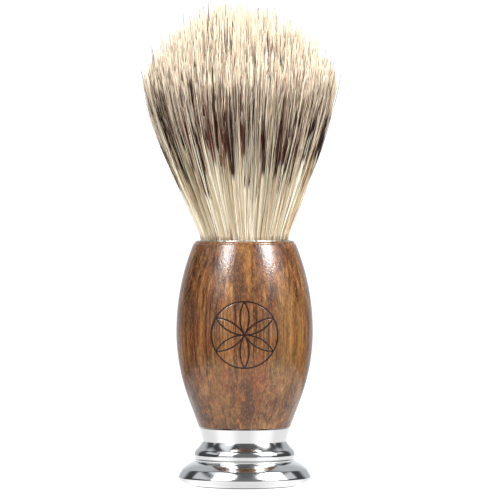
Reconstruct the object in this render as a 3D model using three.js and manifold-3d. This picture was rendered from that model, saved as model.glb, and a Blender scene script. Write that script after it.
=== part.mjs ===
// A shaving brush that stands on its foot: a bulb-shaped hair knot in a ferrule, a turned wooden
// handle, and a polished metal foot pulled onto the wood by a screw from below.
// Millimetres, +Z up. The origin is the centre of the foot's flat resting ring.

import * as THREE from 'three';
import { mergeVertices } from 'three/addons/utils/BufferGeometryUtils.js';
import Module from 'manifold-3d';

const wasm = await Module();
wasm.setup();

// ---------------------------------------------------------------- driving dimensions

const GAP = 0.3; // clearance between pieces that touch

const REST_RING_INNER_R = 10.2; // flat ring that the brush stands on
const REST_RING_OUTER_R = 11.4;
const FOOT_UNDER_CURVE = 1.6; // fullness of the curve from the ring out to the lip
const FOOT_LIP_R = 15.95; // widest radius of the foot
const FOOT_LIP_Z = 2.0; // height of that widest point
const FOOT_LIP_ROLL_R = 1.1; // rounding of the lip's upper edge
const FOOT_FLANK_R = 14.9; // top of the lip's steep flank
const FOOT_FLANK_Z = 4.1;
const FOOT_FLARE_R = 11.9; // top of the flare, under the bead
const FOOT_FLARE_Z = 6.0;
const FOOT_SCRIBE_R = 11.72; // bottom of the line scribed round the bead
const FOOT_SCRIBE_Z = 6.6;
const FOOT_BEAD_R = 12.0; // widest radius of the bead
const FOOT_BEAD_Z = 7.25;
const FOOT_SHOULDER_R = 11.5; // where the bead turns into the cove
const FOOT_SHOULDER_Z = 8.85;
const FOOT_NECK_R = 10.0; // crease under the collar
const FOOT_NECK_Z = 10.7;
const FOOT_TOP_R = 10.8; // top of the collar, flush with the wood

const JOINT_Z = 14.0; // where wood and metal meet
const BELLY_R = 16.4; // widest radius of the wood
const BELLY_Z = 37.15;
const LOWER_ARC_R = 46; // profile radius below the belly
const UPPER_ARC_R = 55.3; // profile radius above the belly
const LOWER_ARC_END_Z = 21.2; // below this the wood is a straight cone
const RIM_Z = 58.85; // flat top of the wood
const RIM_EDGE_R = 0.7; // rounding of the rim's outer edge
const RIM_FLAT = 0.55; // width of the flat round the socket

const SOCKET_R = 10.75; // bore in the wood for the knot
const SOCKET_DEPTH = 14;
const FERRULE_R = 10.45; // outer radius of the knot's cup
const FERRULE_WALL = 0.35;
const FERRULE_STANDS = 0.25; // height of its lip above the wood
const FERRULE_EDGE_R = 0.5; // rounding of its bottom edge
const ADHESIVE_T = 0.9; // bed of glue under the ferrule
const RESIN_T = 3; // resin that holds the roots
const BINDING_LIFT = 1.2; // from the roots to the thread
const BINDING_H = 3;
const BINDING_TURNS = 4;
const BINDING_BULGE = 0.3; // how far a turn's centre stands off the hair
const THREAD_ROUND_DEG = 70;

const KNOT_WAIST_R = 8.6; // the bundle where it is tied
const KNOT_MOUTH_R = 10.4; // the bundle where it leaves the ferrule
const BLOOM_R = 23.3; // widest radius of the hair
const BLOOM_Z = 95.5;
const HAIR_TOP_Z = 116;
const HAIR_FLARE = [
  [14.8, 70.8],
  [19.9, 84.3],
];
const HAIR_DOME = [
  [20.3, 104],
  [14, 111.2],
  [7, 114.7],
];
const HAIR_CURVE_STEPS = 18;
const ROOT_TAPER_H = 1.5;
const MOUTH_STEP_H = 0.1;

const SCREW_R = 2.5; // M5 button-head screw
const SCREW_LENGTH = 25;
const SCREW_HEAD_R = 4.75;
const SCREW_HEAD_H = 2.75;
const SCREW_CROWN_R = 1.8; // rounding of the button head
const SCREW_POINT = 0.6; // chamfer at its end
const SCREW_END_ROOM = 1; // empty bore past its end
const HEX_SOCKET_R = 1.75; // across its corners, halved
const HEX_SOCKET_DEPTH = 1.6;
const WASHER_R = 5.0;
const WASHER_T = 1.0;
const LOCK_WASHER_R = 4.6;
const LOCK_WASHER_T = 1.1;
const LOCK_WASHER_SLIT = 0.16; // half angle of its slit, radians
const CLEARANCE_HOLE_R = SCREW_R + GAP;
const SPIGOT_R = 5.5; // boss on the foot that centres it in the wood
const SPIGOT_H = 2.5;
const INSERT_R = 4.2;
const INSERT_LENGTH = 10;
const INSERT_RIBS = 6;
const INSERT_RIB_DEPTH = 0.5;
const INSERT_RIB_FLAT = [0.3, 0.7];

const PAD_RECESS_DEPTH = 1.3;
const PAD_Z = 0.1; // underside of the felt, just clear of the ground
const COUNTERBORE_R = 5.6;

const ROUND = 48; // facets round the large pieces
const SMALL_ROUND = 24; // facets round the fasteners
const ARC_STEPS = 4; // steps along an ordinary rounded stretch

// ---------------------------------------------------------------- heights worked out from them

const footTopZ = JOINT_Z - GAP / 2;
const woodBottomZ = JOINT_Z + GAP / 2;
const headZ = PAD_RECESS_DEPTH + GAP / 2;
const lockWasherZ = headZ + SCREW_HEAD_H + GAP;
const washerZ = lockWasherZ + LOCK_WASHER_T + GAP;
const counterboreTopZ = washerZ + WASHER_T + GAP;
const spigotTopZ = footTopZ + SPIGOT_H;
const spigotRecessZ = woodBottomZ + SPIGOT_H;
const insertZ = spigotRecessZ + GAP;
const insertBoreTopZ = insertZ + INSERT_LENGTH + GAP;
const screwEndZ = headZ + SCREW_HEAD_H + SCREW_LENGTH;
const screwBoreTopZ = screwEndZ + SCREW_END_ROOM;
const socketZ = RIM_Z - SOCKET_DEPTH;
const adhesiveZ = socketZ + GAP;
const adhesiveTopZ = adhesiveZ + ADHESIVE_T;
const ferruleZ = adhesiveTopZ + GAP;
const ferruleTopZ = RIM_Z + FERRULE_STANDS;
const resinZ = ferruleZ + FERRULE_WALL + GAP;
const resinTopZ = resinZ + RESIN_T;
const hairZ = resinTopZ + GAP;
const bindingZ = hairZ + BINDING_LIFT;
const bindingTopZ = bindingZ + BINDING_H;

// ---------------------------------------------------------------- outline helpers

// Points on an arc in the (r, z) half-plane, from one angle to another, in degrees.
function arc(r, z, radius, fromDeg, toDeg, steps = ARC_STEPS, heightRatio = 1) {
  const points = [];
  for (let i = 0; i <= steps; i++) {
    const angle = THREE.MathUtils.degToRad(fromDeg + ((toDeg - fromDeg) * i) / steps);
    points.push([r + radius * Math.cos(angle), z + radius * heightRatio * Math.sin(angle)]);
  }
  return points;
}

// A curve up from one (r, z) point to another, whose outward normal turns evenly between two
// elevations, in degrees.
function turning(start, end, fromDeg, toDeg, steps = ARC_STEPS) {
  const from = new THREE.Vector2(...start);
  const chord = new THREE.Vector2(...end).sub(from);
  const path = [new THREE.Vector2(0, 0)];
  for (let i = 0; i < steps; i++) {
    const normal = THREE.MathUtils.degToRad(fromDeg + ((toDeg - fromDeg) * (i + 0.5)) / steps);
    path.push(new THREE.Vector2(-Math.sin(normal), Math.cos(normal)).add(path[i]));
  }
  const scale = chord.length() / path[steps].length();
  const miss = path[steps].clone().multiplyScalar(scale).sub(chord);
  return path.map((p, i) => {
    const point = p.clone().multiplyScalar(scale).addScaledVector(miss, -i / steps).add(from);
    return [point.x, point.y];
  });
}

// A smooth curve through a few (r, z) points.
function smooth(points, steps) {
  const curve = new THREE.SplineCurve(points.map(([r, z]) => new THREE.Vector2(r, z)));
  return curve.getPoints(steps).map((p) => [p.x, p.y]);
}

// Turns a closed (r, z) outline about the Z axis. The outline starts and ends on the axis, or is
// a ring's section and closes on itself, and runs with the material on its left.
function turned(outline, facets = ROUND) {
  const points = outline.map(([r, z]) => new THREE.Vector2(r, z));
  const geometry = new THREE.LatheGeometry(points, facets);
  geometry.rotateX(Math.PI / 2);
  return geometry;
}

// A ring's section closes on its first point.
function ring(outline, facets) {
  return turned([...outline, outline[0]], facets);
}

function toSolid(geometry) {
  const bare = geometry.clone();
  bare.deleteAttribute('normal');
  bare.deleteAttribute('uv');
  const merged = mergeVertices(bare);
  const vertProperties = new Float32Array(merged.attributes.position.array);
  const triVerts = new Uint32Array(merged.index.array);
  return new wasm.Manifold(new wasm.Mesh({ numProp: 3, vertProperties, triVerts }));
}

function cut(geometry, tool) {
  const mesh = toSolid(geometry).subtract(toSolid(tool)).getMesh();
  const result = new THREE.BufferGeometry();
  result.setAttribute('position', new THREE.BufferAttribute(mesh.vertProperties, 3));
  result.setIndex(new THREE.BufferAttribute(mesh.triVerts, 1));
  result.computeVertexNormals();
  return result;
}

function material(color, roughness, metalness) {
  return new THREE.MeshStandardMaterial({ color, roughness, metalness });
}

function piece(name, geometry, look) {
  const mesh = new THREE.Mesh(geometry, look);
  mesh.name = name;
  return mesh;
}

// ---------------------------------------------------------------- foot and its fasteners

// The curve from the resting ring out to the lip.
function footUnderside() {
  const steps = 6;
  const run = FOOT_LIP_R - REST_RING_OUTER_R;
  const points = [];
  for (let i = 0; i < steps; i++) {
    const across = i / steps;
    const drop = (1 - across ** FOOT_UNDER_CURVE) ** (1 / FOOT_UNDER_CURVE);
    points.push([REST_RING_OUTER_R + run * across, FOOT_LIP_Z * (1 - drop)]);
  }
  return points;
}

// Outer profile of the foot, from the resting ring up to the top of the collar: rolled lip, steep
// flank, flare, bead with a scribed line round its base, cove, and collar.
function footProfile() {
  const flankTop = [FOOT_FLANK_R, FOOT_FLANK_Z];
  const flareTop = [FOOT_FLARE_R, FOOT_FLARE_Z];
  const beadSide = [FOOT_BEAD_R, FOOT_BEAD_Z];
  const shoulder = [FOOT_SHOULDER_R, FOOT_SHOULDER_Z];
  const neck = [FOOT_NECK_R, FOOT_NECK_Z];
  return [
    ...footUnderside(),
    ...arc(FOOT_LIP_R - FOOT_LIP_ROLL_R, FOOT_LIP_Z, FOOT_LIP_ROLL_R, 0, 26, 3),
    ...turning(flankTop, flareTop, 44, 64),
    [FOOT_BEAD_R, FOOT_SCRIBE_Z - 0.3],
    [FOOT_SCRIBE_R, FOOT_SCRIBE_Z],
    ...turning(beadSide, shoulder, -6, 42),
    ...turning(shoulder, neck, 43, 31, 3).slice(1),
    [FOOT_TOP_R, footTopZ],
  ];
}

function foot() {
  return ring([
    [REST_RING_INNER_R, 0],
    ...footProfile(),
    [SPIGOT_R, footTopZ],
    [SPIGOT_R, spigotTopZ],
    [CLEARANCE_HOLE_R, spigotTopZ],
    [CLEARANCE_HOLE_R, counterboreTopZ],
    [COUNTERBORE_R, counterboreTopZ],
    [COUNTERBORE_R, PAD_RECESS_DEPTH],
    [REST_RING_INNER_R, PAD_RECESS_DEPTH],
  ]);
}

function footPad() {
  const radius = REST_RING_INNER_R - GAP;
  const top = PAD_RECESS_DEPTH - GAP;
  return turned([[0, PAD_Z], [radius, PAD_Z], [radius, top], [0, top]]);
}

// Button head down, with its hex socket, and the plain shank that stands for the thread.
function footScrew() {
  const top = headZ + SCREW_HEAD_H;
  const crownR = SCREW_CROWN_R;
  const screw = turned(
    [
      [0, headZ],
      ...arc(SCREW_HEAD_R - crownR, headZ + crownR, crownR, -90, 0),
      [SCREW_HEAD_R, top],
      [SCREW_R, top],
      [SCREW_R, screwEndZ - SCREW_POINT],
      [SCREW_R - SCREW_POINT, screwEndZ],
      [0, screwEndZ],
    ],
    SMALL_ROUND,
  );
  const hexSocket = new THREE.CylinderGeometry(HEX_SOCKET_R, HEX_SOCKET_R, HEX_SOCKET_DEPTH * 2, 6);
  hexSocket.rotateX(Math.PI / 2);
  hexSocket.translate(0, 0, headZ);
  return cut(screw, hexSocket);
}

function flatWasher() {
  const bore = SCREW_R + GAP;
  return ring(
    [
      [bore, washerZ],
      [WASHER_R, washerZ],
      [WASHER_R, washerZ + WASHER_T],
      [bore, washerZ + WASHER_T],
    ],
    SMALL_ROUND,
  );
}

// A split ring: an arc-shaped outline extruded to the washer's thickness.
function lockWasher() {
  const bore = SCREW_R + GAP;
  const outline = new THREE.Shape();
  outline.absarc(0, 0, LOCK_WASHER_R, LOCK_WASHER_SLIT, Math.PI * 2 - LOCK_WASHER_SLIT, false);
  outline.absarc(0, 0, bore, Math.PI * 2 - LOCK_WASHER_SLIT, LOCK_WASHER_SLIT, true);
  const geometry = new THREE.ExtrudeGeometry(outline, {
    depth: LOCK_WASHER_T,
    bevelEnabled: false,
    curveSegments: SMALL_ROUND,
  });
  geometry.translate(0, 0, lockWasherZ);
  return geometry;
}

// Ribbed brass sleeve: the ribs are what bites into the wood.
function threadedInsert() {
  const bore = SCREW_R + GAP;
  const root = INSERT_R - INSERT_RIB_DEPTH;
  const pitch = INSERT_LENGTH / INSERT_RIBS;
  const ribs = [];
  for (let i = 0; i < INSERT_RIBS; i++) {
    const z = insertZ + i * pitch;
    ribs.push([root, z], ...INSERT_RIB_FLAT.map((share) => [INSERT_R, z + pitch * share]));
  }
  ribs.push([root, insertZ + INSERT_LENGTH]);
  return ring([[bore, insertZ], ...ribs, [bore, insertZ + INSERT_LENGTH]], SMALL_ROUND);
}

// ---------------------------------------------------------------- handle

// Outside of the barrel: straight cone, arc to the belly, flatter arc to the rounded rim.
function barrelProfile() {
  const lowerAngle = THREE.MathUtils.radToDeg(Math.asin((BELLY_Z - LOWER_ARC_END_Z) / LOWER_ARC_R));
  const lower = arc(BELLY_R - LOWER_ARC_R, BELLY_Z, LOWER_ARC_R, -lowerAngle, 0, 5);
  const slope = Math.tan(THREE.MathUtils.degToRad(lowerAngle));
  const bottomR = lower[0][0] - slope * (LOWER_ARC_END_Z - woodBottomZ);
  const edgeZ = RIM_Z - RIM_EDGE_R;
  const upperAngle = THREE.MathUtils.radToDeg(Math.asin((edgeZ - BELLY_Z) / UPPER_ARC_R));
  const upper = arc(BELLY_R - UPPER_ARC_R, BELLY_Z, UPPER_ARC_R, 0, upperAngle, 7);
  const edge = arc(SOCKET_R + RIM_FLAT, edgeZ, RIM_EDGE_R, 20, 90, 3);
  return [[bottomR, woodBottomZ], ...lower, ...upper.slice(1, -1), ...edge];
}

function handle() {
  const recessR = SPIGOT_R + GAP;
  const insertBoreR = INSERT_R + GAP;
  const screwBoreR = CLEARANCE_HOLE_R;
  return turned([
    [0, screwBoreTopZ],
    [screwBoreR, screwBoreTopZ],
    [screwBoreR, insertBoreTopZ],
    [insertBoreR, insertBoreTopZ],
    [insertBoreR, spigotRecessZ],
    [recessR, spigotRecessZ],
    [recessR, woodBottomZ],
    ...barrelProfile(),
    [SOCKET_R, RIM_Z],
    [SOCKET_R, socketZ],
    [0, socketZ],
  ]);
}

function socketAdhesive() {
  const radius = SOCKET_R - GAP;
  return turned([[0, adhesiveZ], [radius, adhesiveZ], [radius, adhesiveTopZ], [0, adhesiveTopZ]]);
}

// ---------------------------------------------------------------- knot

function ferrule() {
  const inner = FERRULE_R - FERRULE_WALL;
  return turned([
    [0, ferruleZ],
    ...arc(FERRULE_R - FERRULE_EDGE_R, ferruleZ + FERRULE_EDGE_R, FERRULE_EDGE_R, -90, 0, 3),
    [FERRULE_R, ferruleTopZ],
    [inner, ferruleTopZ],
    [inner, ferruleZ + FERRULE_WALL],
    [0, ferruleZ + FERRULE_WALL],
  ]);
}

function knotResin() {
  const radius = FERRULE_R - FERRULE_WALL - GAP;
  return turned([[0, resinZ], [radius, resinZ], [radius, resinTopZ], [0, resinTopZ]]);
}

// Turns of thread side by side: a ring whose outside is a row of half-round bumps.
function knotBinding() {
  const pitch = BINDING_H / BINDING_TURNS;
  const inner = KNOT_WAIST_R + GAP;
  const outline = [[inner, bindingZ]];
  for (let i = 0; i < BINDING_TURNS; i++) {
    const middle = bindingZ + (i + 0.5) * pitch;
    outline.push(...arc(inner + BINDING_BULGE, middle, pitch / 2, -THREAD_ROUND_DEG, THREAD_ROUND_DEG, 3));
  }
  outline.push([inner, bindingTopZ]);
  return ring(outline, SMALL_ROUND * 2);
}

// The hair as one closed solid: roots, waist under the thread, mouth, flare, bloom and dome.
function bristleBundle() {
  const rootR = FERRULE_R - FERRULE_WALL - GAP;
  const flareZ = ferruleTopZ + GAP;
  const hair = smooth(
    [
      [KNOT_MOUTH_R, flareZ],
      ...HAIR_FLARE,
      [BLOOM_R, BLOOM_Z],
      ...HAIR_DOME,
      [0, HAIR_TOP_Z],
    ],
    HAIR_CURVE_STEPS,
  );
  return turned([
    [0, hairZ],
    [KNOT_WAIST_R, hairZ],
    [KNOT_WAIST_R, bindingTopZ + GAP],
    [rootR, bindingTopZ + ROOT_TAPER_H],
    [rootR, ferruleTopZ - MOUTH_STEP_H],
    ...hair,
  ]);
}

// ---------------------------------------------------------------- the brush

const chrome = () => material(0xe2e3e4, 0.12, 1);
const steel = () => material(0xb8babd, 0.35, 1);
const brush = new THREE.Group();

brush.add(
  piece('foot', foot(), chrome()),
  piece('foot_pad', footPad(), material(0x1f1f21, 0.95, 0)),
  piece('foot_screw', footScrew(), steel()),
  piece('lock_washer', lockWasher(), steel()),
  piece('flat_washer', flatWasher(), steel()),
  piece('threaded_insert', threadedInsert(), material(0xc8a04a, 0.35, 1)),
  piece('handle', handle(), material(0x8a5e3a, 0.35, 0)),
  piece('socket_adhesive', socketAdhesive(), material(0xd9c48a, 0.3, 0)),
  piece('ferrule', ferrule(), material(0xd5d8d3, 0.3, 1)),
  piece('knot_resin', knotResin(), material(0xc98f3c, 0.2, 0)),
  piece('knot_binding', knotBinding(), material(0xe8e2d2, 0.9, 0)),
  piece('bristle_bundle', bristleBundle(), material(0xd8c2a2, 0.75, 0)),
);

export default brush;
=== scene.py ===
"""A shaving brush standing on its foot: hair knot, ferrule, turned wooden handle, chrome-plated foot."""

import math

import bpy
import numpy as np
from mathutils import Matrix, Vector


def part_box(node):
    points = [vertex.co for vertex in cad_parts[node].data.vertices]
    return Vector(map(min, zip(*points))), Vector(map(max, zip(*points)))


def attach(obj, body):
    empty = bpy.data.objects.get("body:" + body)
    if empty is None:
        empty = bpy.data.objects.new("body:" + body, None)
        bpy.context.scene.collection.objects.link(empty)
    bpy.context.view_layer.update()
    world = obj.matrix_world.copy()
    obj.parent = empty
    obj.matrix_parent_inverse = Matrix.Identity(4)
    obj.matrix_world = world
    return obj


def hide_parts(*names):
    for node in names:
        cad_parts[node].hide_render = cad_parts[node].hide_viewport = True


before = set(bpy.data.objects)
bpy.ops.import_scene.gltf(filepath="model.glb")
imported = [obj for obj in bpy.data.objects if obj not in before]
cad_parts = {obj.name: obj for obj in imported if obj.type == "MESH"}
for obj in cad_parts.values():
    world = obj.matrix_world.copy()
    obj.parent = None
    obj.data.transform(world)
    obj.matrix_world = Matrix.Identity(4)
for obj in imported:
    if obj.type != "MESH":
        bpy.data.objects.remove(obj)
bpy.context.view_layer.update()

MM = 0.001
FULL_TURN = 2 * math.pi
SHARP_DEG = 28.0

# ------------------------------------------------------------------ places read from the frame

HANDLE_LOW, HANDLE_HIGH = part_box("handle")
_, FOOT_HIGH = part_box("foot")
PAD_LOW, PAD_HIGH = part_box("foot_pad")
FERRULE_LOW, FERRULE_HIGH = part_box("ferrule")
_, HAIR_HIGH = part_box("bristle_bundle")
RIM_Z = HANDLE_HIGH.z / MM
WOOD_BOTTOM_Z = HANDLE_LOW.z / MM
BELLY_R = HANDLE_HIGH.x / MM
FERRULE_TOP_Z = FERRULE_HIGH.z / MM
FERRULE_R = FERRULE_HIGH.x / MM
BLOOM_R = HAIR_HIGH.x / MM
HAIR_TOP_Z = HAIR_HIGH.z / MM
HAIR_REACH = HAIR_TOP_Z - FERRULE_TOP_Z

# ------------------------------------------------------------------ sizes of the design, in mm

GAP = 0.3  # between pieces that touch

BELLY_Z = 37.15
LOWER_ARC_R = 46.0  # radius of the barrel's profile below the belly
UPPER_ARC_R = 55.3  # and above it
LOWER_ARC_END_Z = 21.2  # below this the wood is a straight cone
SIDE_TO_RIM = 0.75  # from the top of the barrel's side up to the flat rim
RIM_EDGE_R = 0.7
RIM_FLAT = 0.55  # from the socket out to the start of the rim's rounding
SOCKET_R = 10.75
SOCKET_DEPTH = 14.0
SPIGOT_R = 5.5  # boss on the foot that centres it in the wood
SPIGOT_H = 2.5
CLEARANCE_HOLE_R = 2.8
INSERT_BORE_R = 4.5
INSERT_BORE_TOP_Z = 27.25
SCREW_BORE_TOP_Z = 30.2

LIP_R = 15.95  # widest radius of the foot
LIP_Z = 2.0
LIP_ROLL_R = 1.1
REST_R = 10.7  # where the flat ring underneath turns up toward the lip
UNDER_CURVE = 1.75  # fullness of that curve
PAD_RECESS_R = 10.2
PAD_EDGE_R = 0.25
COUNTERBORE_R = 5.6
COUNTERBORE_TOP_Z = 7.0

# (r, z) points up the outside of the foot
FLANK_TOP = (14.90, 4.10)
FLARE_TOP = (12.30, 5.76)
CREASE_TOP = (11.86, 6.02)
SCRIBED_LINE = ((11.93, 6.08), (11.96, 6.32), (11.70, 6.56), (11.70, 6.66), (11.98, 6.70))
BEAD_SIDE = (12.03, 7.25)
SHOULDER = (11.50, 8.83)
NECK = (10.0, 10.72)
COLLAR_TOP_R = 10.8

CUP_WALL = 0.2  # of the ferrule
CUP_LIP_R = 0.12
CUP_EDGE_R = 0.5
CUP_LIP_H = 0.6

MARK_Z = 36.9
MARK_R = 7.9
MARK_LINE = 0.37  # width of its lines
MARK_DEPTH = 0.05
MARK_MARGIN = 0.4  # finely meshed wood round the mark

# dark, red, golden and olive figure in the wood: place across and up, half sizes, strength, colour
FIGURE_DARK = (0.067, 0.031, 0.018, 1.0)
FIGURE_RED = (0.194, 0.054, 0.018, 1.0)
FIGURE_GOLD = (0.342, 0.150, 0.030, 1.0)
FIGURE_OLIVE = (0.195, 0.125, 0.045, 1.0)
FIGURE = (
    (-12.6, 42.0, 2.6, 6.0, 0.75, FIGURE_DARK),
    (-0.5, 25.0, 5.5, 9.0, 0.45, FIGURE_RED),
    (0.6, 21.0, 1.9, 9.0, 0.90, FIGURE_DARK),
    (1.3, 18.5, 0.9, 9.0, 0.70, FIGURE_DARK),
    (3.8, 27.0, 1.0, 10.0, 0.60, FIGURE_RED),
    (-2.6, 24.0, 1.2, 9.0, 0.45, FIGURE_DARK),
    (-1.7, 50.0, 1.6, 9.0, 0.65, FIGURE_DARK),
    (-0.5, 51.0, 4.5, 9.0, 0.45, FIGURE_DARK),
    (0.9, 52.0, 0.9, 8.0, 0.35, FIGURE_GOLD),
    (3.4, 50.0, 1.0, 8.0, 0.55, FIGURE_DARK),
    (-6.0, 24.0, 2.2, 12.0, 0.30, FIGURE_GOLD),
    (9.5, 36.0, 4.0, 18.0, 0.35, FIGURE_OLIVE),
    (13.0, 30.0, 2.0, 12.0, 0.20, FIGURE_GOLD),
)

BLOOM_Z = 95.5
HAIR_LEAN = -1.15


# ------------------------------------------------------------------ node helpers


class Nodes:
    """Short calls for building a node tree."""

    def __init__(self, tree):
        self.tree = tree
        self.tree.nodes.clear()

    def link(self, source, target):
        self.tree.links.new(source, target)

    def put(self, socket, value):
        if isinstance(value, bpy.types.NodeSocket):
            self.link(value, socket)
        else:
            socket.default_value = value

    def node(self, kind, **settings):
        made = self.tree.nodes.new(kind)
        for key, value in settings.items():
            setattr(made, key, value)
        return made

    def math(self, operation, a, b=0.0):
        made = self.node("ShaderNodeMath", operation=operation)
        self.put(made.inputs[0], a)
        self.put(made.inputs[1], b)
        return made.outputs[0]

    def smooth_range(self, value, low, high, to_low=0.0, to_high=1.0):
        made = self.node("ShaderNodeMapRange", interpolation_type="SMOOTHSTEP")
        for key, v in (("Value", value), ("From Min", low), ("From Max", high)):
            self.put(made.inputs[key], v)
        made.inputs["To Min"].default_value = to_low
        made.inputs["To Max"].default_value = to_high
        return made.outputs["Result"]

    def mix(self, factor, a, b, blend="MIX"):
        made = self.node("ShaderNodeMix", data_type="RGBA", blend_type=blend)
        self.put(made.inputs["Factor"], factor)
        self.put(made.inputs["A"], a)
        self.put(made.inputs["B"], b)
        return made.outputs["Result"]

    def position_mm(self, stretch=(1.0, 1.0, 1.0)):
        where = self.node("ShaderNodeTexCoord").outputs["Object"]
        scaled = self.node("ShaderNodeVectorMath", operation="MULTIPLY")
        self.link(where, scaled.inputs[0])
        scaled.inputs[1].default_value = [s / MM for s in stretch]
        return scaled.outputs[0]

    def noise(self, vector, scale=1.0, detail=2.0, roughness=0.5):
        made = self.node("ShaderNodeTexNoise")
        self.link(vector, made.inputs["Vector"])
        made.inputs["Scale"].default_value = scale
        made.inputs["Detail"].default_value = detail
        made.inputs["Roughness"].default_value = roughness
        return made.outputs["Fac"]

    def window(self, value, low, high, soft):
        """1 between low and high, 0 outside, with soft edges."""
        rising = self.smooth_range(value, low - soft, low + soft)
        falling = self.smooth_range(value, high - soft, high + soft, 1.0, 0.0)
        return self.math("MULTIPLY", rising, falling)


class Finish(Nodes):
    """One material: a Principled shader and the nodes that feed it."""

    def __init__(self, name):
        self.material = bpy.data.materials.new(name)
        self.material.use_nodes = True
        super().__init__(self.material.node_tree)
        out = self.node("ShaderNodeOutputMaterial")
        self.bsdf = self.node("ShaderNodeBsdfPrincipled")
        self.link(self.bsdf.outputs["BSDF"], out.inputs["Surface"])

    def bump(self, height, strength, distance):
        made = self.node("ShaderNodeBump")
        self.put(made.inputs["Height"], height)
        made.inputs["Strength"].default_value = strength
        made.inputs["Distance"].default_value = distance
        self.link(made.outputs["Normal"], self.bsdf.inputs["Normal"])

    def set(self, **values):
        for key, value in values.items():
            self.put(self.bsdf.inputs[key.replace("_", " ")], value)


def srgb(red, green, blue):
    """Linear colour from 0-255 display values."""
    def linear(v):
        v /= 255
        return v / 12.92 if v <= 0.04045 else ((v + 0.055) / 1.055) ** 2.4
    return (linear(red), linear(green), linear(blue), 1.0)


# ------------------------------------------------------------------ materials


def petal_centres():
    """Centres of the six arcs that draw the rosette, evenly round the mark's ring."""
    angles = [math.radians(60 * k + 30) for k in range(6)]
    return [(MARK_R * math.cos(a), MARK_R * math.sin(a)) for a in angles]


def mark_lines(x, z):
    """Distance from the nearest line of the engraved mark, in mm: a ring and a six-petal rosette in it."""
    centre = np.hypot(x, z)
    nearest = np.abs(centre - MARK_R)
    for px, pz in petal_centres():
        to_arc = np.abs(np.hypot(x - px, z - pz) - MARK_R)
        nearest = np.where(centre < MARK_R, np.minimum(nearest, to_arc), nearest)
    return nearest


def mark_mask(n):
    """The same lines as a shader mask: 1 in the burnt line, 0 outside."""
    far_off = 99.0
    where = n.node("ShaderNodeSeparateXYZ")
    n.link(n.position_mm(), where.inputs[0])
    x, y, z = where.outputs
    z = n.math("SUBTRACT", z, MARK_Z)

    def from_point(px, pz):
        dx = n.math("SUBTRACT", x, px)
        dz = n.math("SUBTRACT", z, pz)
        return n.math("SQRT", n.math("ADD", n.math("MULTIPLY", dx, dx), n.math("MULTIPLY", dz, dz)))

    centre = from_point(0.0, 0.0)
    ring = n.math("ABSOLUTE", n.math("SUBTRACT", centre, MARK_R))
    petals = far_off
    for px, pz in petal_centres():
        to_arc = n.math("ABSOLUTE", n.math("SUBTRACT", from_point(px, pz), MARK_R))
        petals = n.math("MINIMUM", petals, to_arc)
    outside = n.math("MULTIPLY", n.math("GREATER_THAN", centre, MARK_R), far_off)
    nearest = n.math("MINIMUM", ring, n.math("ADD", petals, outside))
    # soft-edged at about half a line's width from its middle
    line = n.smooth_range(nearest, MARK_LINE * 0.42, MARK_LINE * 0.64, 1.0, 0.0)
    return n.math("MULTIPLY", line, n.math("LESS_THAN", y, 0.0))


def figure_mask(n, at_x, at_z, half_width, half_height):
    """A soft upright patch on the front of the barrel, with a wavering outline, in mm."""
    where = n.node("ShaderNodeSeparateXYZ")
    n.link(n.position_mm(), where.inputs[0])
    x, y, z = where.outputs
    wave = n.noise(n.position_mm((0.5, 0.5, 0.12)), 1.0, 3.0)
    waver = n.math("MULTIPLY", n.math("SUBTRACT", wave, 0.5), 3.0)
    across = n.math("DIVIDE", n.math("SUBTRACT", x, at_x), half_width)
    across = n.math("ADD", across, waver)
    up = n.math("DIVIDE", n.math("SUBTRACT", z, at_z), half_height)
    far = n.math("ADD", n.math("MULTIPLY", across, across), n.math("MULTIPLY", up, up))
    return n.math("MULTIPLY", n.smooth_range(far, 0.1, 1.0, 1.0, 0.0), n.math("LESS_THAN", y, 0.0))


def grain_colour(n):
    """The bare grain: broad bands and upright streaks through a brown ramp, with reddish and olive zones."""
    warp = n.noise(n.position_mm((0.05, 0.05, 0.03)), 1.0, 1.0)
    bent = n.node("ShaderNodeVectorMath", operation="MULTIPLY_ADD")
    n.link(n.position_mm((0.30, 0.30, 0.016)), bent.inputs[0])
    bent.inputs[1].default_value = (1, 1, 1)
    push = n.node("ShaderNodeCombineXYZ")
    n.put(push.inputs[0], n.math("MULTIPLY", warp, 1.3))
    n.put(push.inputs[1], n.math("MULTIPLY", warp, 0.9))
    n.link(push.outputs[0], bent.inputs[2])
    broad = n.noise(bent.outputs[0], 1.0, 3.0, 0.5)
    streak = n.noise(n.position_mm((1.3, 1.3, 0.035)), 1.0, 3.0, 0.6)
    tone = n.math("ADD", n.math("MULTIPLY", broad, 0.50), n.math("MULTIPLY", streak, 0.60))
    tone = n.math("SUBTRACT", tone, 0.055)
    ramp = n.node("ShaderNodeValToRGB")
    n.link(tone, ramp.inputs[0])
    stops = (
        (0.37, srgb(42, 24, 16)),
        (0.45, srgb(78, 48, 28)),
        (0.50, srgb(101, 66, 37)),
        (0.56, srgb(125, 85, 48)),
        (0.64, srgb(150, 106, 64)),
    )
    elements = ramp.color_ramp.elements
    while len(elements) < len(stops):
        elements.new(0.5)
    for element, (place, colour) in zip(elements, stops):
        element.position = place
        element.color = colour
    base = ramp.outputs[0]
    red = n.noise(n.position_mm((0.9, 0.9, 0.05)), 1.3, 1.0)
    base = n.mix(n.smooth_range(red, 0.50, 0.68, 0.0, 0.55), base, srgb(118, 62, 34))
    olive = n.noise(n.position_mm((0.55, 0.55, 0.05)), 1.7, 1.0)
    return n.mix(n.smooth_range(olive, 0.55, 0.72, 0.0, 0.5), base, srgb(92, 76, 40))


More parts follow.
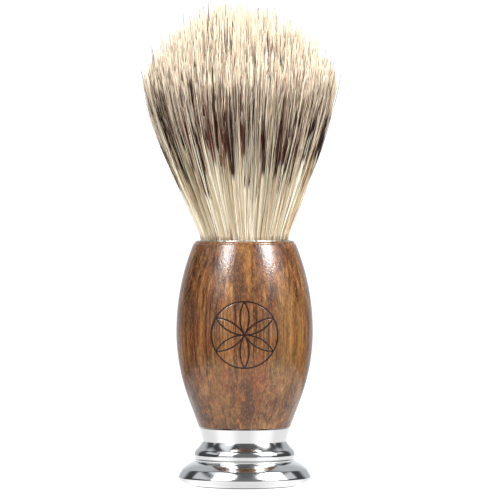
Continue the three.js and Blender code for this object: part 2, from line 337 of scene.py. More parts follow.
def wood_material():
    n = Finish("handle_wood")
    fibre = n.noise(n.position_mm((5.0, 5.0, 0.16)), 1.0, 3.0, 0.55)
    speckle = n.noise(n.position_mm((3.8, 3.8, 0.85)), 1.0, 2.0, 0.7)
    peel = n.noise(n.position_mm((1.7, 1.7, 1.3)), 1.0, 2.0, 0.6)
    base = grain_colour(n)
    for at_x, at_z, half_width, half_height, strength, colour in FIGURE:
        mask = figure_mask(n, at_x, at_z, half_width, half_height)
        base = n.mix(n.math("MULTIPLY", mask, strength), base, colour)
    # dark fibres, dark and light flecks, and the burnt mark
    base = n.mix(n.smooth_range(fibre, 0.38, 0.62, 0.0, 0.42), base, srgb(48, 28, 17))
    base = n.mix(n.smooth_range(speckle, 0.50, 0.66, 0.0, 0.36), base, srgb(44, 26, 16))
    base = n.mix(n.smooth_range(speckle, 0.32, 0.46, 0.24, 0.0), base, srgb(176, 128, 76))
    mark = mark_mask(n)
    base = n.mix(mark, base, srgb(26, 10, 4))
    gloss = n.smooth_range(fibre, 0.3, 0.7, 0.17, 0.25)
    n.set(Base_Color=base, Roughness=n.math("ADD", gloss, n.math("MULTIPLY", mark, 0.06)))
    n.bsdf.inputs["Specular IOR Level"].default_value = 0.48
    relief = n.math("ADD", n.math("MULTIPLY", peel, 0.8), n.math("MULTIPLY", fibre, 0.2))
    n.bump(relief, 0.5, 0.10 * MM)
    return n.material


def chrome_material():
    n = Finish("foot_chrome")
    smudge = n.noise(n.position_mm((0.25, 0.25, 0.25)), 1.0, 3.0)
    turned = n.noise(n.position_mm((0.15, 0.15, 7.0)), 1.0, 2.0)
    rough = n.smooth_range(smudge, 0.3, 0.7, 0.08, 0.15)
    n.set(Base_Color=srgb(212, 212, 212), Metallic=1.0, Roughness=rough)
    n.bump(turned, 0.12, 0.01 * MM)
    return n.material


def hair_material():
    """Banded hair. The UV's u picks one of many hairs' colourings; v is the distance from the ferrule."""
    n = Finish("hair")
    uv = n.node("ShaderNodeSeparateXYZ")
    n.link(n.node("ShaderNodeUVMap", uv_map="OFBake").outputs[0], uv.inputs[0])
    column = n.math("FLOOR", n.math("MULTIPLY", uv.outputs[0], HAIR_VARIANTS))
    along = n.math("MULTIPLY", uv.outputs[1], HAIR_V_LENGTH)

    def random(offset):
        made = n.node("ShaderNodeTexWhiteNoise", noise_dimensions="1D")
        n.put(made.inputs["W"], n.math("ADD", column, offset))
        split = n.node("ShaderNodeSeparateColor")
        n.link(made.outputs["Color"], split.inputs[0])
        return split.outputs

    kind, start, end = random(0.37)
    hue, depth, rare = random(531.21)
    light, soft, tint = random(1290.77)

    # cream at the base, and a more even cream toward the tip
    pale = n.mix(hue, srgb(186, 166, 130), srgb(246, 240, 220))
    pale = n.mix(n.smooth_range(tint, 0.60, 1.0, 0.0, 0.6), pale, srgb(206, 170, 124))
    tip = n.mix(hue, srgb(202, 184, 158), srgb(230, 217, 196))
    tip = n.mix(n.smooth_range(tint, 0.70, 1.0, 0.0, 0.6), tip, srgb(190, 158, 126))
    tipward = n.smooth_range(along, 18.0, 34.0)
    hair = n.mix(tipward, pale, tip)

    # the dark band, which a few hairs keep up to the tip and about two in five don't have
    band_start = n.math("ADD", BAND_START, n.math("MULTIPLY", start, BAND_START_SPREAD))
    band_end = n.math("ADD", BAND_END, n.math("MULTIPLY", end, BAND_END_SPREAD))
    dark_to_tip = n.math("LESS_THAN", rare, DARK_TO_TIP_SHARE)
    band_end = n.math("ADD", band_end, n.math("MULTIPLY", dark_to_tip, PAST_THE_TIP))
    enter_from = n.math("SUBTRACT", band_start, BAND_ENTRY)
    enter = n.smooth_range(along, enter_from, n.math("ADD", band_start, BAND_ENTRY))
    fade = n.math("ADD", BAND_EXIT, n.math("MULTIPLY", soft, BAND_EXIT_SPREAD))
    leave_from = n.math("SUBTRACT", band_end, fade)
    leave = n.smooth_range(along, leave_from, n.math("ADD", band_end, fade), 1.0, 0.0)
    strength = n.smooth_range(kind, 0.40, 0.48)
    band = n.math("MULTIPLY", n.math("MULTIPLY", enter, leave), strength)
    dark = n.mix(n.smooth_range(depth, 0.45, 1.0), srgb(35, 15, 12), srgb(110, 58, 43))
    hair = n.mix(band, hair, dark)

    # a few hairs brown near the base, and a random shade for each
    brown = n.math("GREATER_THAN", rare, 1 - BROWN_SHARE)
    low = n.smooth_range(along, 8.0, 24.0, 0.85, 0.0)
    hair = n.mix(n.math("MULTIPLY", brown, low), hair, srgb(120, 72, 40))
    hair = n.mix(n.smooth_range(light, 0.40, 1.0, 0.0, 0.36), hair, srgb(120, 98, 78), "MULTIPLY")
    n.set(Base_Color=hair, Roughness=0.30)
    n.bsdf.inputs["Specular IOR Level"].default_value = 0.35
    return n.material


def felt_material():
    n = Finish("pad_felt")
    fuzz = n.noise(n.position_mm((2.0, 2.0, 2.0)), 1.5, 4.0, 0.7)
    colour = n.mix(n.smooth_range(fuzz, 0.3, 0.7), srgb(24, 24, 27), srgb(58, 58, 62))
    n.set(Base_Color=colour, Roughness=0.95)
    n.bsdf.inputs["Sheen Weight"].default_value = 0.4
    n.bsdf.inputs["Sheen Roughness"].default_value = 0.5
    n.bump(fuzz, 0.6, 0.2 * MM)
    return n.material


def metal_material(name, colour, worn, rough_low, rough_high, grain):
    n = Finish(name)
    stain = n.noise(n.position_mm((0.5, 0.5, 0.5)), 1.0, 4.0, 0.6)
    lines = n.noise(n.position_mm(grain), 1.0, 2.0)
    n.set(
        Base_Color=n.mix(n.smooth_range(stain, 0.35, 0.75, 0.0, 0.6), colour, worn),
        Metallic=1.0,
        Roughness=n.smooth_range(lines, 0.3, 0.7, rough_low, rough_high),
    )
    n.bump(lines, 0.15, 0.02 * MM)
    return n.material


def resin_material(name, colour, deep):
    n = Finish(name)
    cloud = n.noise(n.position_mm((0.4, 0.4, 0.4)), 1.0, 3.0)
    n.set(Base_Color=n.mix(cloud, colour, deep), Roughness=n.smooth_range(cloud, 0.3, 0.7, 0.12, 0.3))
    n.bsdf.inputs["Coat Weight"].default_value = 0.4
    n.bump(cloud, 0.1, 0.2 * MM)
    return n.material


def thread_material():
    n = Finish("thread")
    twist = n.node("ShaderNodeTexWave", wave_type="BANDS", bands_direction="DIAGONAL")
    n.link(n.position_mm((1.6, 1.6, 3.0)), twist.inputs["Vector"])
    twist.inputs["Scale"].default_value = 1.2
    twist.inputs["Distortion"].default_value = 1.5
    shade = twist.outputs["Fac"]
    n.set(Base_Color=n.mix(shade, srgb(170, 158, 132), srgb(238, 230, 208)), Roughness=0.85)
    n.bump(shade, 0.5, 0.1 * MM)
    return n.material


# ------------------------------------------------------------------ mesh helpers


def arc(r, z, radius, from_deg, to_deg, steps):
    """Points (r, z) on an arc, from one angle to another."""
    angles = np.radians(np.linspace(from_deg, to_deg, steps + 1))
    return [(r + radius * math.cos(a), z + radius * math.sin(a)) for a in angles]


def turning(start, end, from_deg, to_deg, steps):
    """A curve up between two (r, z) points whose outward normal turns evenly between two elevations."""
    angles = np.radians(np.linspace(from_deg, to_deg, steps + 1))
    middle = (angles[1:] + angles[:-1]) / 2
    r = np.concatenate([[0], np.cumsum(-np.sin(middle))])
    z = np.concatenate([[0], np.cumsum(np.cos(middle))])
    share = np.linspace(0, 1, steps + 1)
    scale = math.hypot(end[0] - start[0], end[1] - start[1]) / math.hypot(r[-1], z[-1])
    r = start[0] + r * scale
    z = start[1] + z * scale
    return list(zip(r + (end[0] - r[-1]) * share, z + (end[1] - z[-1]) * share))


def new_piece(name, mesh, material, slot, *stands_for):
    """Links a finished mesh as a piece: its body, its material and the CAD nodes it stands for. The slot
    argument is not used.
    """
    obj = bpy.data.objects.new(name, mesh)
    bpy.context.scene.collection.objects.link(obj)
    mesh.materials.append(material)
    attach(obj, "root")
    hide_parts(*stands_for)


def fill_mesh(name, points, faces):
    """A mesh from an (n, 3) array in metres and a list of face index arrays, one array per face size."""
    mesh = bpy.data.meshes.new(name)
    mesh.vertices.add(len(points))
    mesh.vertices.foreach_set("co", np.asarray(points, np.float32).ravel())
    loops = np.concatenate([f.ravel() for f in faces]).astype(np.int32)
    sizes = np.concatenate([np.full(len(f), f.shape[1], np.int32) for f in faces])
    starts = np.concatenate([[0], np.cumsum(sizes)[:-1]]).astype(np.int32)
    mesh.loops.add(len(loops))
    mesh.loops.foreach_set("vertex_index", loops)
    mesh.polygons.add(len(sizes))
    mesh.polygons.foreach_set("loop_start", starts)
    mesh.update(calc_edges=True)
    mesh.polygons.foreach_set("use_smooth", np.full(len(sizes), True))
    return mesh


def turned_mesh(name, outline, angles, push=None):
    """Turns a closed (r, z) outline in mm about Z. Points on the axis become one vertex each."""
    on_axis = 1e-6
    outline = np.array(outline, float)
    count = len(angles)
    points = []
    rings = []
    for r, z in outline:
        start = sum(len(p) for p in points)
        if r < on_axis:
            points.append(np.array([[0.0, 0.0, z]]))
            rings.append(np.full(count, start))
        else:
            ring = np.column_stack([r * np.sin(angles), -r * np.cos(angles), np.full(count, z)])
            points.append(ring if push is None else push(ring))
            rings.append(start + np.arange(count))
    rings = np.array(rings)
    closed = outline[0][0] > on_axis
    following = np.roll(rings, -1, axis=0) if closed else rings[1:]
    here = rings if closed else rings[:-1]
    quads = []
    tris = []
    for low, high in zip(here, following):
        a, b, c, d = low, np.roll(low, -1), np.roll(high, -1), high
        if low[0] == low[1]:
            tris.append(np.column_stack([a, c, d]))
        elif high[0] == high[1]:
            tris.append(np.column_stack([a, b, d]))
        else:
            quads.append(np.column_stack([a, b, c, d]))
    faces = [np.concatenate(group) for group in (quads, tris) if group]
    mesh = fill_mesh(name, np.concatenate(points) * MM, faces)
    mesh.set_sharp_from_angle(angle=math.radians(SHARP_DEG))
    return mesh


def even_angles(count):
    return np.arange(count) * FULL_TURN / count


# ------------------------------------------------------------------ foot


def foot_outline():
    """The foot's closed section: underside, rolled lip, flare, scribed bead, cove, collar, and the bore."""
    run = LIP_R - REST_R
    under = [
        (REST_R + run * t, LIP_Z * (1 - (1 - t**UNDER_CURVE) ** (1 / UNDER_CURVE)))
        for t in np.linspace(0, 1, 24, endpoint=False)
    ]
    roll = arc(LIP_R - LIP_ROLL_R, LIP_Z, LIP_ROLL_R, 0, 26, 12)
    flank = turning(roll[-1], FLANK_TOP, 26, 34, 8)
    flare = turning(flank[-1], FLARE_TOP, 44, 64, 20)
    crease = turning(flare[-1], CREASE_TOP, 63, 50, 3)
    bead = turning(BEAD_SIDE, SHOULDER, -6, 42, 20)
    cove = turning(bead[-1], NECK, 43, 31, 16)
    top = FOOT_HIGH.z / MM - SPIGOT_H
    recess = PAD_HIGH.z / MM + GAP
    return [
        (PAD_RECESS_R, 0.0), *under, *roll, *flank[1:], *flare[1:], *crease[1:], *SCRIBED_LINE, *bead,
        *cove[1:], (COLLAR_TOP_R, top), (SPIGOT_R, top), (SPIGOT_R, top + SPIGOT_H),
        (CLEARANCE_HOLE_R, top + SPIGOT_H), (CLEARANCE_HOLE_R, COUNTERBORE_TOP_Z),
        (COUNTERBORE_R, COUNTERBORE_TOP_Z), (COUNTERBORE_R, recess), (PAD_RECESS_R, recess),
    ]


def make_foot(material):
    mesh = turned_mesh("polished_foot", foot_outline(), even_angles(192))
    new_piece("polished_foot", mesh, material, "foot_chrome", "foot")


def make_pad(material):
    low = PAD_LOW.z / MM
    high = PAD_HIGH.z / MM
    radius = PAD_HIGH.x / MM
    count = 14
    rings = [(radius * k / count, low) for k in range(count)]
    outline = [
        *rings,
        *arc(radius - PAD_EDGE_R, low + PAD_EDGE_R, PAD_EDGE_R, -90, 0, 4),
        *arc(radius - PAD_EDGE_R, high - PAD_EDGE_R, PAD_EDGE_R, 0, 90, 4),
        (0.0, high),
    ]
    mesh = turned_mesh("felt_pad", outline, even_angles(96))
    new_piece("felt_pad", mesh, material, "pad_felt", "foot_pad")


# ------------------------------------------------------------------ handle


def barrel_radius(z):
    """Outside radius of the wood at a height, in mm."""
    drop = BELLY_Z - LOWER_ARC_END_Z
    lower_slope = drop / math.sqrt(LOWER_ARC_R**2 - drop**2)
    if z >= BELLY_Z:
        return BELLY_R - UPPER_ARC_R + math.sqrt(UPPER_ARC_R**2 - (z - BELLY_Z) ** 2)
    at = max(z, LOWER_ARC_END_Z)
    r = BELLY_R - LOWER_ARC_R + math.sqrt(LOWER_ARC_R**2 - (BELLY_Z - at) ** 2)
    return r - lower_slope * max(0.0, LOWER_ARC_END_Z - z)


def handle_outline():
    """The wood's closed section: bores for screw, insert and spigot, the barrel's side, and the socket."""
    reach = MARK_R + MARK_MARGIN
    heights = np.concatenate([
        np.linspace(WOOD_BOTTOM_Z, MARK_Z - reach, 24, endpoint=False),
        np.linspace(MARK_Z - reach, MARK_Z + reach, 176, endpoint=False),
        np.linspace(MARK_Z + reach, RIM_Z - SIDE_TO_RIM, 24),
    ])
    side = [(barrel_radius(z), z) for z in heights]
    edge = arc(SOCKET_R + RIM_FLAT, RIM_Z - RIM_EDGE_R, RIM_EDGE_R, 12, 90, 8)
    recess = SPIGOT_R + GAP
    return [
        (0.0, SCREW_BORE_TOP_Z), (CLEARANCE_HOLE_R, SCREW_BORE_TOP_Z), (CLEARANCE_HOLE_R, INSERT_BORE_TOP_Z),
        (INSERT_BORE_R, INSERT_BORE_TOP_Z), (INSERT_BORE_R, WOOD_BOTTOM_Z + SPIGOT_H),
        (recess, WOOD_BOTTOM_Z + SPIGOT_H), (recess, WOOD_BOTTOM_Z),
        *side, *edge, (SOCKET_R, RIM_Z), (SOCKET_R, RIM_Z - SOCKET_DEPTH), (0.0, RIM_Z - SOCKET_DEPTH),
    ]


def engrave(ring):
    """Sinks the mark's lines into the front of the barrel."""
    x, y, z = ring.T
    radius = np.hypot(x, y)
    in_a_bore = radius[0] < SOCKET_R + 1
    if in_a_bore:
        return ring
    lines = mark_lines(x, z - MARK_Z)
    # full depth up to 0.35 of a line's width from its middle, none beyond 0.75
    depth = MARK_DEPTH * np.clip((MARK_LINE * 0.75 - lines) / (MARK_LINE * 0.4), 0, 1) * (y < 0)
    ring[:, 0] -= x / radius * depth
    ring[:, 1] -= y / radius * depth
    return ring


def make_handle(material):
    half = math.asin((MARK_R + MARK_MARGIN) / BELLY_R)
    angles = np.concatenate([
        np.linspace(-half, half, 190, endpoint=False),
        np.linspace(half, FULL_TURN - half, 100, endpoint=False),
    ])
    mesh = turned_mesh("wooden_barrel", handle_outline(), angles, engrave)
    new_piece("wooden_barrel", mesh, material, "handle_wood", "handle")


# ------------------------------------------------------------------ ferrule


def make_ferrule(material):
    low = FERRULE_LOW.z / MM
    inner_r = FERRULE_R - CUP_WALL
    outline = [
        (0.0, low),
        *arc(FERRULE_R - CUP_EDGE_R, low + CUP_EDGE_R, CUP_EDGE_R, -90, 0, 6),
        *arc(FERRULE_R - CUP_LIP_R, FERRULE_TOP_Z - CUP_LIP_R, CUP_LIP_R, 0, 180, 8),
        (inner_r, FERRULE_TOP_Z - CUP_LIP_H), (inner_r, low + CUP_WALL), (0.0, low + CUP_WALL),
    ]
    mesh = turned_mesh("knot_cup", outline, even_angles(128))
    new_piece("knot_cup", mesh, material, "ferrule_metal", "ferrule")


# ------------------------------------------------------------------ hair

HAIR_COUNT = 22400
HAIR_LAYERS = 8
HAIR_CLUMP = 3
TUFTS = 1100
STRAYS = 480
HAIR_STEPS = 11
HAIR_SIDES = 3
HAIR_THICK = 0.118
ROOT_SHARE = 0.72  # how thick a hair is at its root, as a share of its thickest place
THINS_FROM = 0.55  # share of its length from which a hair thins toward the tip
TIP_THINNING = 0.48

# the UV layer: a column for each colouring, and the length of hair that v spans
HAIR_VARIANTS = 256
HAIR_V_LENGTH = 64.0
PALE_TIP_CURVE = 14  # the higher, the closer to its end a short hair takes on the colour of a full tip

# the dark band, in mm along the hair from the ferrule; a spread is the most that a hair's own draw adds
BAND_START = 11.0
BAND_START_SPREAD = 16.0
BAND_END = 29.0
BAND_END_SPREAD = 32.0
BAND_ENTRY = 1.3
BAND_EXIT = 1.2
BAND_EXIT_SPREAD = 3.0
DARK_TO_TIP_SHARE = 0.08
PAST_THE_TIP = 30.0
BROWN_SHARE = 0.06

# the knot's outline, and how far hairs stray from it
HAIR_MOUTH_R = 10.15
FLARE_SLOPE = 0.392
FLARE_ROUNDING = 3.2
BLOOM_ROOM = 1.0
DOME_FULLNESS = 0.70
LOWEST_TIP_DROP = 8.0
ROOT_DEPTH = 2.0
LEAN_RISE = 31.0
TUFT_SWAY = 0.8
CLUMP_SWAY = 2.3
OUTER_CALM = 0.55
STRAY_SWAY = 2.4
WAVE = 0.26
OUTER_FROM = 0.7  # a third of the hairs is drawn from this share of the section outward
CLUMP_CLOSENESS = 0.985
CLUMP_TURN = 0.012
SHARED_COLOURING = 0.15  # share of clumps that take their tuft's colouring

# how far below the dome hairs end, in mm: a scatter round it, and a tail of shorter hairs
TIP_SCATTER = 1.0
TIP_LIFT = 0.9
SHORTEST = 20
OUTER_SHORTEST = 12  # on top of that, for the outermost hairs


def guide_radius(z):
    """How far out the outermost hair stands at a height: a straight flare that rounds off at the bloom."""
    rise = np.maximum(z - FERRULE_TOP_Z, 0.0)
    straight = FLARE_SLOPE * rise
    limit = BLOOM_R + BLOOM_ROOM - HAIR_MOUTH_R
    rounded = (1 - np.exp(-((straight / limit) ** FLARE_ROUNDING))) ** (1 / FLARE_ROUNDING)
    return HAIR_MOUTH_R + limit * rounded


def dome_height(r):
    """Height of the hair's domed top at a radius."""
    inside = np.clip(1 - (r / BLOOM_R) ** 2, 0, 1)
    return BLOOM_Z + (HAIR_TOP_Z - BLOOM_Z) * inside**DOME_FULLNESS


def tip_height(spread):
    """Where a hair meets the dome. spread is 0 on the axis and 1 for the outermost hairs."""
    low = np.full_like(spread, BLOOM_Z - LOWEST_TIP_DROP)
    high = np.full_like(spread, HAIR_TOP_Z)
    halvings = 30
    for _ in range(halvings):
        middle = (low + high) / 2
        above = middle > dome_height(np.minimum(spread * guide_radius(middle), BLOOM_R))
        high = np.where(above, middle, high)
        low = np.where(above, low, middle)
    return (low + high) / 2


def hair_paths(rng, spread, angle, short, tuft, clump):
    """Centre lines of hairs, (n, steps + 1, 3) in mm. Hairs of a tuft lean together, a clump more so."""
    n = len(spread)
    root_z = FERRULE_TOP_Z - ROOT_DEPTH
    tips = tip_height(spread) - short
    share = np.linspace(0, 1, HAIR_STEPS + 1)
    z = root_z + (tips - root_z)[:, None] * share[None, :]
    rise = np.clip((z - FERRULE_TOP_Z) / HAIR_REACH, 0, 1.2)
    r = spread[:, None] * guide_radius(z)
    lean = HAIR_LEAN * np.clip((z - FERRULE_TOP_Z) / LEAN_RISE, 0, 1)
    flow = r[:, :, None] * np.column_stack([np.sin(angle), -np.cos(angle)])[:, None, :]

    def sway(reach, count, power):
        push = rng.normal(0, reach, (count, 2))
        return lambda pick: push[pick][:, None, :] * rise[:, :, None] ** power

    # hairs sway more the higher they reach, and the outermost sway less on their own
    calm = (1 - OUTER_CALM * spread**2)[:, None, None]
    flow = flow + sway(TUFT_SWAY, TUFTS, 1.3)(tuft) + calm * sway(CLUMP_SWAY, n, 1.0)(clump)
    wild = rng.choice(n, STRAYS, replace=False)
    strays = np.zeros((n, 2))
    strays[wild] = rng.normal(0, STRAY_SWAY, (STRAYS, 2))
    flow = flow + strays[:, None, :] * rise[:, :, None] ** 1.2
    # a slight wave along each hair, at its full size from a third of the way up
    phase = rng.uniform(0, FULL_TURN, (n, 1, 2))
    turns = rng.uniform(4, 10, (n, 1, 1))
    reach = np.abs(rng.normal(0, WAVE, (n, 1, 1)))
    wave = np.sin(phase + rise[:, :, None] * turns)
    flow = flow + reach * np.minimum(rise * 3, 1)[:, :, None] * wave
    return np.stack([flow[:, :, 0] + lean, flow[:, :, 1], z], axis=2)


def hair_mesh(name, rng, paths, thick, column):
    """Tapered three-sided hairs round their centre lines, closed at both ends."""
    n, rows, _ = paths.shape
    tangent = np.gradient(paths, axis=1)
    tangent /= np.linalg.norm(tangent, axis=2, keepdims=True)
    side = np.cross(tangent, np.array([0.0, 1.0, 0.0]))
    side /= np.linalg.norm(side, axis=2, keepdims=True)
    other = np.cross(tangent, side)
    share = np.linspace(0, 1, rows)
    swell = ROOT_SHARE + (1 - ROOT_SHARE) * np.sin(np.pi * np.clip(share * 1.15, 0, 1))
    taper = swell * (1 - TIP_THINNING * np.clip((share - THINS_FROM) / (1 - THINS_FROM), 0, 1))
    radius = thick[:, None] * taper[None, :]
    turn = rng.uniform(0, FULL_TURN, n)
    rings = []
    for k in range(HAIR_SIDES):
        a = (turn + k * FULL_TURN / HAIR_SIDES)[:, None, None]
        rings.append(paths + radius[:, :, None] * (np.cos(a) * side + np.sin(a) * other))
    points = np.stack(rings, axis=2).reshape(-1, 3)

    base = (np.arange(n) * rows * HAIR_SIDES)[:, None, None]
    row = (np.arange(rows - 1) * HAIR_SIDES)[None, :, None]
    k = np.arange(HAIR_SIDES)[None, None, :]
    after = (k + 1) % HAIR_SIDES
    here = base + row
    above = here + HAIR_SIDES
    quads = np.stack([here + k, here + after, above + after, above + k], axis=3).reshape(-1, 4)
    first = (np.arange(n) * rows * HAIR_SIDES)[:, None]
    root_caps = first + np.array([[2, 1, 0]])
    tip_caps = first + (rows - 1) * HAIR_SIDES + np.array([[0, 1, 2]])
    mesh = fill_mesh(name, points * MM, [quads, root_caps, tip_caps])
    colour_hairs(mesh, paths, column)
    return mesh


def colour_hairs(mesh, paths, column):
    """Writes the UV layer: u is the hair's column, v the distance along it. Tips of short hairs end pale."""
    n, rows, _ = paths.shape
    # u keeps well inside a column, so that no colouring runs into the next
    left = (column + 0.2) / HAIR_VARIANTS
    right = (column + 0.8) / HAIR_VARIANTS
    step = np.linalg.norm(np.diff(paths, axis=1), axis=2)
    from_root = np.concatenate([np.zeros((n, 1)), np.cumsum(step, axis=1)], axis=1)
    along = from_root - (FERRULE_TOP_Z - paths[:, :1, 2])
    total = along[:, -1:]
    along = along + (HAIR_REACH - total) * np.clip(along / total, 0, 1) ** PALE_TIP_CURVE
    v = np.clip(along / HAIR_V_LENGTH, 0.002, 0.998)
    shape = (n, rows - 1, HAIR_SIDES)
    u0 = np.broadcast_to(left[:, None, None], shape)
    u1 = np.broadcast_to(right[:, None, None], shape)
    v0 = np.broadcast_to(v[:, :-1, None], shape)
    v1 = np.broadcast_to(v[:, 1:, None], shape)
    corners = [(u0, v0), (u1, v0), (u1, v1), (u0, v1)]
    quad_uv = np.stack([np.stack(corner, 3) for corner in corners], 3)

    def cap_uv(at, inward):
        corners = [(left, at), (right, at), ((left + right) / 2, at + inward)]
        return np.stack([np.stack(c, 1) for c in corners], 1)

    root_uv = cap_uv(v[:, 0], 0.001)
    tip_uv = cap_uv(v[:, -1], -0.001)
    layer = mesh.uv_layers.new(name="OFBake")
    everything = np.concatenate([quad_uv.reshape(-1, 2), root_uv.reshape(-1, 2), tip_uv.reshape(-1, 2)])
    layer.uv.foreach_set("vector", everything.astype(np.float32).ravel())


def nearest_tuft(rng, spread, angle):
    """Gathers hairs round random centres over the knot's section: each joins the centre nearest to it."""
    r = np.sqrt(rng.uniform(0, 1, TUFTS))
    a = rng.uniform(0, FULL_TURN, TUFTS)
    across = (spread * np.sin(angle))[:, None] - r * np.sin(a)
    deep = (spread * np.cos(angle))[:, None] - r * np.cos(a)
    return (across**2 + deep**2).argmin(axis=1)


def make_hair(material):
    """Draws every hair's place, length, thickness and colouring, and builds the knot in layers."""
    rng = np.random.default_rng(7)
    inner = HAIR_COUNT * 2 // 3
    outer = HAIR_COUNT - inner
    spread = np.sqrt(np.concatenate([rng.uniform(0, 1, inner), rng.uniform(OUTER_FROM, 1, outer)]))
    clump = np.arange(HAIR_COUNT) // HAIR_CLUMP
    spread = np.sort(spread)[clump * HAIR_CLUMP] * rng.uniform(CLUMP_CLOSENESS, 1.0, HAIR_COUNT)
    angle = rng.uniform(0, FULL_TURN, HAIR_COUNT)[clump] + rng.normal(0, CLUMP_TURN, HAIR_COUNT)
    tuft = nearest_tuft(rng, spread, angle)
    short = np.abs(rng.normal(0, TIP_SCATTER, HAIR_COUNT)) - TIP_LIFT
    short += rng.uniform(0, 1, HAIR_COUNT) ** 4 * SHORTEST
    short += rng.uniform(0, 1, HAIR_COUNT) ** 2 * OUTER_SHORTEST * spread**2
    thick = HAIR_THICK * rng.uniform(0.7, 1.3, HAIR_COUNT)
    paths = hair_paths(rng, spread, angle, short, tuft, clump)
    shared = rng.integers(0, HAIR_VARIANTS, TUFTS)[tuft]
    own = rng.integers(0, HAIR_VARIANTS, HAIR_COUNT)[clump]
    column = np.where(rng.uniform(0, 1, HAIR_COUNT)[clump] < SHARED_COLOURING, shared, own)
    for layer, chosen in enumerate(np.array_split(np.arange(HAIR_COUNT), HAIR_LAYERS)):
        name = f"hair_layer_{layer + 1}"
        mesh = hair_mesh(name, rng, paths[chosen], thick[chosen], column[chosen])
        new_piece(name, mesh, material, "hair", "bristle_bundle")


# ------------------------------------------------------------------ stage, light and camera

ROOM_SEEN = 1.2
ROOM_FILL = 0.30
ROOM_REFLECTED = 0.080
FRONT_LIFT = 0.05
CARD_LEVEL = 1.1
SIDE_CARD_SHARE = 0.7
FLOOR_R = 110.0
FLOOR_GLOW = 0.97
# painted light: extra floor emission in the wedges facing the two softboxes
FLOOR_LIT_SIDES = 0.35
# painted shadow: the floor's emission is dark under the foot's edge
FOOT_SHADE = (11.3, 12.9)  # radii between which the floor goes from dark to lit
CAMERA_DISTANCE = 1.296
EYE_HEIGHT = 0.095
AIM = Vector((0.0013, 0.0, 0.0566))
VIEW_WIDTH = 0.120
SENSOR = 36.0
LIGHTS_AIM = Vector((0, 0, 0.05))


def make_camera():
    data = bpy.data.cameras.new("camera")
    camera = bpy.data.objects.new("camera", data)
    bpy.context.scene.collection.objects.link(camera)
    camera.location = (AIM.x, -CAMERA_DISTANCE, EYE_HEIGHT)
    camera.rotation_euler = (AIM - camera.location).to_track_quat("-Z", "Y").to_euler()
    data.sensor_width = SENSOR
    data.lens = SENSOR * (AIM - camera.location).length / VIEW_WIDTH
    data.clip_start = 0.05
    data.clip_end = 50
    bpy.context.scene.camera = camera


def panel(name, azimuth, elevation, distance, width, height, power, in_gloss=True):
    """A rectangular light aimed at the brush: angles in degrees, metres, watts. Azimuth 0 is the camera's
    side, and + is its right."""
    data = bpy.data.lights.new(name, "AREA")
    data.shape = "RECTANGLE"
    data.size = width
    data.size_y = height
    data.energy = power
    light = bpy.data.objects.new(name, data)
    bpy.context.scene.collection.objects.link(light)
    a = math.radians(azimuth)
    e = math.radians(elevation)
    back = Vector((math.sin(a) * math.cos(e), -math.cos(a) * math.cos(e), math.sin(e)))
    light.location = LIGHTS_AIM + back * distance
    light.rotation_euler = (-back).to_track_quat("-Z", "Y").to_euler()
    light.visible_camera = False
    light.visible_glossy = in_gloss


def mirrored_studio(n):
    """What the reflections show, by direction in degrees: a dark studio, a pale back wall and pale cards."""
    direction = n.node("ShaderNodeSeparateXYZ")
    n.link(n.node("ShaderNodeTexCoord").outputs["Generated"], direction.inputs[0])
    x, y, z = direction.outputs
    azimuth = n.math("DEGREES", n.math("ARCTAN2", x, n.math("MULTIPLY", y, -1.0)))
    elevation = n.math("DEGREES", n.math("ARCSINE", z))
    aside = n.math("ABSOLUTE", azimuth)

    # the back wall, wider toward its top and brighter in its middle
    turned_to_wall = n.math("ADD", aside, n.smooth_range(elevation, 34, 44, 0.0, 15.0))
    middle = n.smooth_range(aside, 156, 172, 0.0, 0.35)
    wall = n.math("ADD", n.smooth_range(turned_to_wall, 128, 142, 0.0, 0.58), middle)
    wall = n.math("MULTIPLY", wall, n.smooth_range(elevation, 52, 74, 1.0, 0.3))
    wall = n.math("MULTIPLY", wall, n.smooth_range(elevation, -14, -8))

    # a faint lift on the camera's side, and cards low at both sides, overhead and beside
    front = n.math("MULTIPLY", n.window(azimuth, -32, 36, 3), n.smooth_range(elevation, 46, 56, 3.0, 1.0))
    front = n.math("MULTIPLY", front, FRONT_LIFT)
    low_left = n.window(azimuth, -64, -26, 3)
    low_right = n.window(azimuth, 30, 66, 3)
    cards = n.math("MULTIPLY", n.math("ADD", low_left, low_right), n.window(elevation, -3, 7, 1.5))
    lateral = n.math("DEGREES", n.math("ARCSINE", x))
    over = n.math("ADD", n.window(lateral, -56, -21, 3), n.window(lateral, 27, 66, 3))
    on_camera_side = n.smooth_range(y, 0.02, 0.12, 1.0, 0.0)
    over = n.math("MULTIPLY", over, n.math("MULTIPLY", n.smooth_range(elevation, 44, 50), on_camera_side))
    cards = n.math("ADD", cards, over)
    beside = n.math("MULTIPLY", n.window(aside, 70, 113, 2), n.window(elevation, 24, 40, 3))
    cards = n.math("ADD", cards, n.math("MULTIPLY", beside, SIDE_CARD_SHARE))
    without_cards = n.math("ADD", wall, n.math("ADD", front, ROOM_REFLECTED))
    return n.math("ADD", without_cards, n.math("MULTIPLY", cards, CARD_LEVEL))


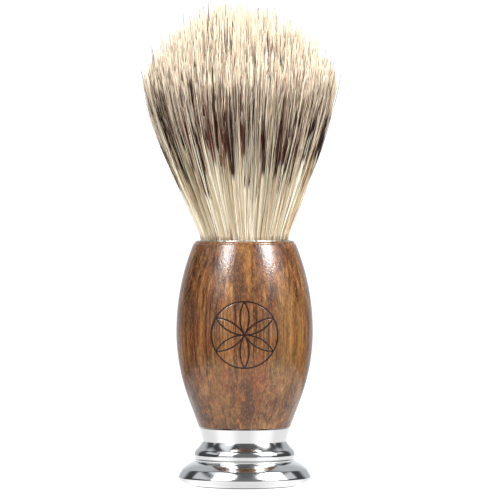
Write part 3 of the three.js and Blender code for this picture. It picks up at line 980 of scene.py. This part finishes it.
def make_world():
    """White behind the picture, a soft fill for matt surfaces, and the studio in the reflections."""
    world = bpy.data.worlds.new("studio")
    bpy.context.scene.world = world
    world.use_nodes = True
    n = Nodes(world.node_tree)
    out = n.node("ShaderNodeOutputWorld")
    room = n.node("ShaderNodeBackground")
    room.inputs["Color"].default_value = (0.92, 0.96, 1.0, 1)
    ray = n.node("ShaderNodeLightPath")

    def choose(ray_kind, otherwise, level):
        blend = n.node("ShaderNodeMix")
        n.link(ray.outputs[ray_kind], blend.inputs["Factor"])
        n.put(blend.inputs["A"], otherwise)
        n.put(blend.inputs["B"], level)
        return blend.outputs["Result"]

    reflected = choose("Is Glossy Ray", ROOM_FILL, mirrored_studio(n))
    strength = choose("Is Camera Ray", reflected, ROOM_SEEN)
    n.link(strength, room.inputs["Strength"])
    n.link(room.outputs[0], out.inputs["Surface"])


def make_floor():
    """A white disc that lights itself, with a painted shadow where the foot stands on it and painted pools
    of light to the front left and right.
    """
    outline = [(r, 0.0) for r in (0.0, 9.0, 14.0, 60.0, FLOOR_R)]
    mesh = turned_mesh("floor", outline, even_angles(96))
    floor = bpy.data.objects.new("floor", mesh)
    bpy.context.scene.collection.objects.link(floor)
    n = Finish("floor_white")
    away = n.node("ShaderNodeVectorMath", operation="LENGTH")
    n.link(n.position_mm(), away.inputs[0])
    place = n.node("ShaderNodeSeparateXYZ")
    n.link(n.position_mm(), place.inputs[0])
    x, y, _ = place.outputs
    azimuth = n.math("DEGREES", n.math("ARCTAN2", x, n.math("MULTIPLY", y, -1.0)))
    # painted light: the floor glows brighter in two wedges to the front left and right, toward the softboxes
    lit = n.math("ADD", n.window(azimuth, -72, -22, 14), n.window(azimuth, 22, 72, 14))
    lit = n.math("ADD", n.math("MULTIPLY", lit, FLOOR_LIT_SIDES), FLOOR_GLOW)
    # painted shadow: the floor's emission fades out under the foot's edge
    glow = n.math("MULTIPLY", n.smooth_range(away.outputs["Value"], *FOOT_SHADE), lit)
    n.set(Base_Color=(0.06, 0.06, 0.06, 1), Roughness=0.9, Emission_Strength=glow)
    n.bsdf.inputs["Emission Color"].default_value = (1, 1, 1, 1)
    n.bsdf.inputs["Specular IOR Level"].default_value = 0.0
    mesh.materials.append(n.material)


def make_lights():
    """Two softboxes with bright middles, and three lights that reflections don't show."""
    panel("left_softbox", -46, 36, 1.2, 0.73, 0.97, 5.8)
    panel("left_core", -42, 41, 1.19, 0.30, 0.50, 13.5)
    panel("right_softbox", 61, 36, 1.2, 0.97, 0.97, 6.2)
    panel("right_core", 57, 41, 1.19, 0.36, 0.54, 21.5)
    panel("backdrop_light", 180, 24, 1.5, 2.2, 1.4, 30, in_gloss=False)
    panel("hair_light", 180, 82, 1.4, 1.2, 1.2, 16, in_gloss=False)
    panel("front_fill", 4, 2, 1.25, 1.2, 0.9, 9, in_gloss=False)


# ------------------------------------------------------------------ the scene

make_camera()
make_world()
make_floor()
make_lights()

steel = metal_material(
    "fastener_steel", srgb(196, 198, 202), srgb(150, 150, 148), 0.25, 0.42, grain=(3.0, 3.0, 0.6)
)
brass = metal_material(
    "insert_brass", srgb(216, 178, 96), srgb(150, 112, 50), 0.22, 0.4, grain=(0.6, 0.6, 6.0)
)
aluminium = metal_material(
    "ferrule_metal", srgb(222, 225, 220), srgb(180, 184, 178), 0.28, 0.45, grain=(0.5, 0.5, 5.0)
)
carried_over = {
    "foot_screw": steel,
    "lock_washer": steel,
    "flat_washer": steel,
    "threaded_insert": brass,
    "socket_adhesive": resin_material("epoxy", srgb(228, 212, 160), srgb(196, 168, 104)),
    "knot_resin": resin_material("resin", srgb(214, 158, 78), srgb(142, 84, 30)),
    "knot_binding": thread_material(),
}
for node, material in carried_over.items():
    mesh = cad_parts[node].data
    mesh.materials.clear()
    mesh.materials.append(material)

make_foot(chrome_material())
make_pad(felt_material())
make_handle(wood_material())
make_ferrule(aluminium)
make_hair(hair_material())

bpy.context.scene.view_settings.view_transform = "Standard"
